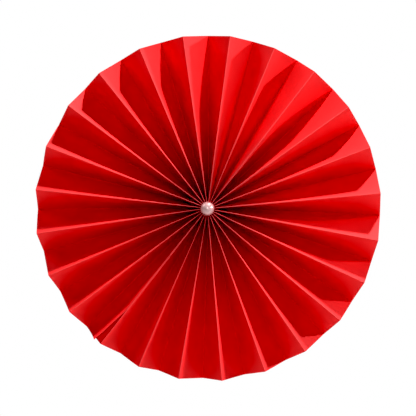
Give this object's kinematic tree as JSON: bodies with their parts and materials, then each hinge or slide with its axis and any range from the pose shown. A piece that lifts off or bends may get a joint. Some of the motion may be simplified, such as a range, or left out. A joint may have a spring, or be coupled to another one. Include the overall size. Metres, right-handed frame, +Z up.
{
  "type": "paper fan rosette",
  "caption": "Round wall decoration: a pleated card ring gathered at the middle, with a small half pearl on the front and a card disc on the back.",
  "frame": {"origin": "middle of the back disc's rear face, which lies against the wall", "axes": "+Z up, the front looks along -Y, +Y points into the wall along the rosette's axis, +X to the right as the front is seen"},
  "size_m": [0.2499, 0.0316, 0.2499],
  "materials": {
    "red_card": "smooth red card with a soft sheen",
    "clear_tape": "clear double-sided tape",
    "set_glue": "set hot-melt glue",
    "pearl_plastic": "pearlised gloss",
    "red_board": "matt red board"
  },
  "bodies": {
    "root": {"pleated_card": "red_card", "seam_tape": "clear_tape", "glue_plug": "set_glue", "pearl": "pearl_plastic", "back_disc": "red_board"}
  },
  "joints": []
}
